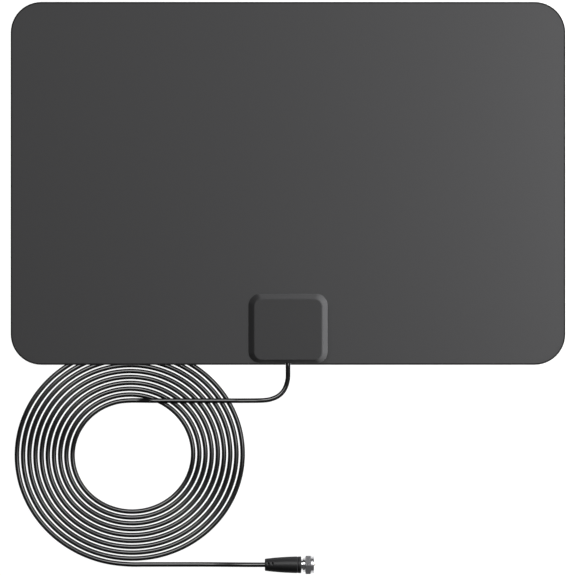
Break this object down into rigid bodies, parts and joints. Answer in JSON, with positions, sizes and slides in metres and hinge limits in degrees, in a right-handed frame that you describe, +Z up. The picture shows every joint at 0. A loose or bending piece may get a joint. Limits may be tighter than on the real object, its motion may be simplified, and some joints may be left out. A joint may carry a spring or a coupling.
{
  "type": "indoor tv antenna",
  "caption": "Flat laminated indoor aerial sheet with a bevelled housing on its lower edge, a coiled thin coaxial cord and a screw-on connector with a spinning nut.",
  "frame": {"origin": "on the table, under the middle of the laminated sheet", "axes": "+Z up, out of the sheet's front; +X along the sheet's long side, to the right in the picture; +Y from the cord's edge to the opposite edge"},
  "size_m": [0.335, 0.3454, 0.0129],
  "materials": {
    "front_film": "satin dark grey laminated film",
    "back_film": "matte black laminated film",
    "foil": "bright rolled foil",
    "housing": "satin moulded plastic",
    "screw": "dark plated steel",
    "board": "green solder mask",
    "rivet": "bright",
    "ferrite": "matte sintered ferrite",
    "copper": "copper",
    "chip": "fired ceramic",
    "ferrule": "satin",
    "insulation": "white polyethylene",
    "cord": "glossy black jacket",
    "boot": "satin black moulding",
    "plated": "bright nickel plate",
    "pin": "bright"
  },
  "bodies": {
    "antenna": {"back_film": "back_film", "front_film": "front_film", "left_foil": "foil", "right_foil": "foil", "housing_back": "housing", "housing_front": "housing", "housing_screws": "screw", "circuit_board": "board", "contact_rivets": "rivet", "balun_core": "ferrite", "balun_windings": "copper", "chip_capacitors": "chip", "cable_ferrule": "ferrule", "cable_braid": "copper", "cable_insulation": "insulation", "cable_conductor": "copper", "cord_lead": "cord", "cord_coil": "cord", "cord_tail": "cord", "connector_boot": "boot", "connector_body": "plated", "connector_post": "plated", "connector_insulator": "insulation", "centre_pin": "pin"},
    "nut": {"coupling_nut": "plated"}
  },
  "joints": [
    {"name": "nut_spin", "type": "hinge", "parent": "antenna", "child": "nut", "pos_m": [0.0108, -0.23027, 0.00646], "axis": [1, 0, 0], "continuous": true}
  ]
}
